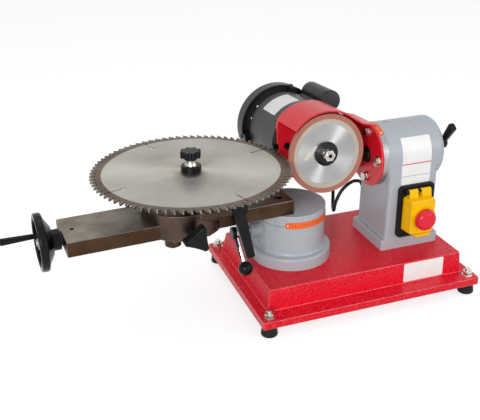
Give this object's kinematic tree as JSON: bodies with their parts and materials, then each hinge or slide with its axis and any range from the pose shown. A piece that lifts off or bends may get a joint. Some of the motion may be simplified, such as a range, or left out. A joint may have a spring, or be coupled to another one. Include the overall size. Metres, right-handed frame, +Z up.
{
  "type": "circular saw blade sharpener",
  "caption": "Bench grinder for circular saw blades: a tilting motor head with a diamond wheel, and a swivelling arm whose screw-fed carriage holds the blade flat on an arbor.",
  "frame": {"origin": "middle of the bounding box on the floor, under the four feet", "axes": "+Z up, +X to the right from arm to head, +Y to the back; the operator stands on the -Y side"},
  "size_m": [0.7231, 0.3486, 0.3067],
  "materials": {
    "red_cast": "hammered enamel",
    "red_sheet": "gloss powder coat",
    "grey_cast": "hammered enamel",
    "motor_paint": "satin",
    "dark_steel": "blued and oiled",
    "ground_steel": "ground",
    "bright_steel": "bright zinc",
    "black_steel": "black oxide",
    "chrome": "polished",
    "aluminium": "turned",
    "brass": "turned",
    "copper_bond": "metal bond",
    "grit": "diamond grit in resin",
    "carbide": "ground carbide",
    "laminations": "stacked sheet with copper winding",
    "rubber": "matt",
    "cord": "satin",
    "black_plastic": "satin moulded",
    "black_gloss": "gloss moulded",
    "yellow_plastic": "gloss moulded",
    "red_plastic": "gloss moulded",
    "green_plastic": "gloss moulded",
    "orange_scale": "anodised strip"
  },
  "bodies": {
    "stand": {"base": "red_cast", "rubber_feet": "rubber", "foot_bolts": "bright_steel", "column": "grey_cast", "swivel_base": "grey_cast", "base_bolts": "black_steel", "switch_body": "black_plastic", "switch_screws": "bright_steel", "cable_glands": "black_plastic", "motor_lead": "cord"},
    "turntable": {"turntable": "grey_cast", "swivel_scale": "orange_scale", "slide_bar": "dark_steel", "bar_bolts": "black_steel", "screw_bush": "brass"},
    "lead_screw": {"lead_screw": "ground_steel", "handwheel": "black_gloss"},
    "crank_grip": {"crank_grip": "black_gloss"},
    "carriage": {"carriage": "dark_steel", "keeper_plate": "dark_steel", "lead_nut": "brass", "arbor": "dark_steel"},
    "blade": {"saw_blade": "ground_steel", "carbide_tips": "carbide", "blade_collar": "black_steel"},
    "star_knob": {"star_knob": "black_gloss"},
    "tri_knob": {"tri_knob": "black_gloss"},
    "carriage_lever": {"carriage_lever": "black_gloss"},
    "ball_lever": {"ball_lever": "chrome", "ball_knob": "black_gloss"},
    "head": {"pivot_shaft": "aluminium", "motor_bracket": "red_sheet", "draw_bolt": "bright_steel", "bracket_bolts": "bright_steel", "wheel_guard": "red_sheet", "front_shield": "motor_paint", "motor_housing": "motor_paint", "rear_shield": "motor_paint", "fan_cover": "black_plastic", "motor_bearings": "bright_steel", "stator": "laminations", "motor_screws": "bright_steel", "capacitor_box": "black_plastic", "capacitor": "aluminium", "head_scale": "orange_scale", "motor_gland": "black_plastic"},
    "spindle": {"motor_shaft": "ground_steel", "rotor": "laminations", "fan": "black_plastic", "wheel_hub": "bright_steel", "wheel_body": "aluminium", "wheel_rim": "copper_bond", "diamond_ring": "grit", "front_flange": "black_steel", "spindle_nut": "bright_steel"},
    "head_lever": {"head_lever": "black_gloss"},
    "switch_lid": {"switch_lid": "yellow_plastic"},
    "stop_knob": {"stop_knob": "red_plastic"},
    "start_button": {"start_button": "green_plastic"}
  },
  "joints": [
    {"name": "arm_swivel", "type": "hinge", "parent": "stand", "child": "turntable", "pos_m": [0.084, -0.016, 0.14], "axis": [0, 0, 1], "range_deg": [-12, 1]},
    {"name": "handwheel_turn", "type": "hinge", "parent": "turntable", "child": "lead_screw", "pos_m": [-0.27566, -0.0317, 0.166], "axis": [0.999, 0.0436, 0], "range_deg": [-8100.01, 0.01]},
    {"name": "grip_spin", "type": "hinge", "parent": "lead_screw", "child": "crank_grip", "pos_m": [-0.33687, -0.00535, 0.163], "axis": [0.999, 0.0436, 0], "continuous": true},
    {"name": "carriage_slide", "type": "slide", "parent": "turntable", "child": "carriage", "axis": [0.999, 0.0436, 0], "range_m": [-0.09, 0]},
    {"name": "blade_spin", "type": "hinge", "parent": "carriage", "child": "blade", "pos_m": [-0.07884, -0.02311, 0.2374], "axis": [0, 0, 1], "continuous": true},
    {"name": "star_knob_turn", "type": "hinge", "parent": "carriage", "child": "star_knob", "pos_m": [-0.07884, -0.02311, 0.26], "axis": [0, 0, 1], "range_deg": [0, 720]},
    {"name": "tri_knob_turn", "type": "hinge", "parent": "carriage", "child": "tri_knob", "pos_m": [-0.09677, -0.09396, 0.166], "axis": [-0.0436, 0.999, 0], "range_deg": [0, 720]},
    {"name": "carriage_lever_turn", "type": "hinge", "parent": "carriage", "child": "carriage_lever", "pos_m": [-0.03368, -0.07169, 0.1865], "axis": [0.999, 0.0436, 0], "range_deg": [-90, 0]},
    {"name": "ball_lever_turn", "type": "hinge", "parent": "stand", "child": "ball_lever", "pos_m": [0.16, -0.016, 0.118], "axis": [1, 0, 0], "range_deg": [0, 60]},
    {"name": "head_tilt", "type": "hinge", "parent": "stand", "child": "head", "pos_m": [0.25, -0.016, 0.2175], "axis": [1, 0, 0], "range_deg": [-16, 24], "deforming": ["motor_lead"]},
    {"name": "spindle_spin", "type": "hinge", "parent": "head", "child": "spindle", "pos_m": [0.1325, -0.01468, 0.23645], "axis": [0, 0.9976, -0.0698], "continuous": true},
    {"name": "head_lever_turn", "type": "hinge", "parent": "head", "child": "head_lever", "pos_m": [0.34, -0.016, 0.2175], "axis": [1, 0, 0], "range_deg": [-45, 45]},
    {"name": "switch_lid_open", "type": "hinge", "parent": "stand", "child": "switch_lid", "pos_m": [0.279, -0.077, 0.168], "axis": [-1, 0, 0], "range_deg": [0, 95]},
    {"name": "stop_knob_press", "type": "slide", "parent": "switch_lid", "child": "stop_knob", "axis": [0, 1, 0], "range_m": [0, 0.004], "stiffness_N_per_m": 400, "springref_m": -0.002},
    {"name": "start_button_press", "type": "slide", "parent": "stand", "child": "start_button", "axis": [0, 1, 0], "range_m": [0, 0.003], "stiffness_N_per_m": 300, "springref_m": -0.002}
  ],
  "couplings": [
    {"joint": "handwheel_turn", "follows": "carriage_slide", "rad_per_m": 1570.8}
  ]
}
